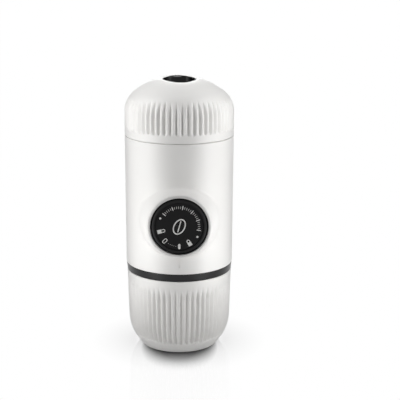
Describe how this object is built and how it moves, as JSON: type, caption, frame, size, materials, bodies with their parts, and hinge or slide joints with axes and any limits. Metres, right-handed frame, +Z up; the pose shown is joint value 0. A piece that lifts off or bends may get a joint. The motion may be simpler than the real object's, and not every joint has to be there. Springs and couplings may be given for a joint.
{
  "type": "handheld manual espresso maker",
  "caption": "White fluted bottle-shaped hand espresso maker: cup and tank below, black pump knob on the smooth body, domed outlet head on top",
  "frame": {"origin": "centre of the cup's flat base, on the surface that the maker stands on", "axes": "+Z runs up the main axis from the base to the outlet; -Y is the front, where the pump knob is; X runs across"},
  "size_m": [0.062, 0.071, 0.156],
  "materials": {
    "white_shell": "satin moulded ABS, white, fine moulded grain",
    "smoke_tank": "smoke-grey clear copolyester, moulded",
    "soft_black": "soft black thermoplastic rubber, satin",
    "seal": "food-grade silicone, natural grey",
    "black_moulding": "black polypropylene, fine moulded grain",
    "grey_moulding": "dark grey acetal, machined and moulded",
    "steel": "stainless steel, stamped or turned",
    "knob_black": "black ABS, satin with fine grain",
    "knob_face": "black ABS insert, printed with white marks",
    "clear_tube": "natural silicone and polypropylene tube",
    "gloss_black": "gloss black ABS"
  },
  "bodies": {
    "cup": {"cup": "white_shell"},
    "tank": {"tank": "smoke_tank", "tank_collar": "soft_black"},
    "tank_seal": {"tank_gasket": "seal"},
    "main_body": {"body_shell": "white_shell", "lower_frame": "black_moulding", "upper_frame": "black_moulding", "neck_ring": "black_moulding", "pump_block": "grey_moulding", "frame_screws": "steel", "knob_guide": "black_moulding", "rod_guide": "black_moulding", "pump_spring": "steel", "inlet_tube": "clear_tube", "inlet_strainer": "black_moulding", "inlet_valve": "seal", "outlet_valve": "seal", "outlet_tube": "clear_tube", "air_valve": "seal", "shower_screen": "steel", "brew_seal": "seal"},
    "plunger": {"piston": "grey_moulding", "piston_seal": "seal", "knob_screw": "steel"},
    "knob": {"knob": "knob_black", "knob_face": "knob_face"},
    "head_seal": {"head_gasket": "seal"},
    "head": {"head_shell": "white_shell", "head_core": "black_moulding", "outlet_screen": "steel", "crema_valve": "seal", "outlet_nozzle": "gloss_black"},
    "basket": {"filter_basket": "black_moulding"},
    "scoop": {"scoop": "black_moulding"}
  },
  "joints": [
    {"name": "tank_lift", "type": "slide", "parent": "cup", "child": "tank", "axis": [0, 0, 1], "range_m": [0, 0.055]},
    {"name": "body_lift", "type": "slide", "parent": "tank", "child": "tank_seal", "axis": [0, 0, 1], "range_m": [0, 0.03]},
    {"name": "body_turn", "type": "hinge", "parent": "tank_seal", "child": "main_body", "pos_m": [0, 0, 0.057], "axis": [0, 0, 1], "range_deg": [0, 360]},
    {"name": "pump_stroke", "type": "slide", "parent": "main_body", "child": "plunger", "axis": [0, -1, 0], "range_m": [0, 0.0125], "deforming": ["pump_spring"]},
    {"name": "knob_turn", "type": "hinge", "parent": "plunger", "child": "knob", "pos_m": [0, -0.0362, 0.0795], "axis": [0, -1, 0], "range_deg": [0, 45]},
    {"name": "head_lift", "type": "slide", "parent": "main_body", "child": "head_seal", "axis": [0, 0, 1], "range_m": [0, 0.06]},
    {"name": "head_turn", "type": "hinge", "parent": "head_seal", "child": "head", "pos_m": [0, 0, 0.1235], "axis": [0, 0, 1], "range_deg": [0, 360]},
    {"name": "basket_lift", "type": "slide", "parent": "main_body", "child": "basket", "axis": [0, 0, 1], "range_m": [0, 0.03]},
    {"name": "scoop_lift", "type": "slide", "parent": "main_body", "child": "scoop", "axis": [0, 0, 1], "range_m": [0, 0.012]}
  ],
  "couplings": [
    {"joint": "basket_lift", "follows": "head_lift", "ratio": 0.5},
    {"joint": "scoop_lift", "follows": "head_lift", "ratio": 0.2}
  ]
}
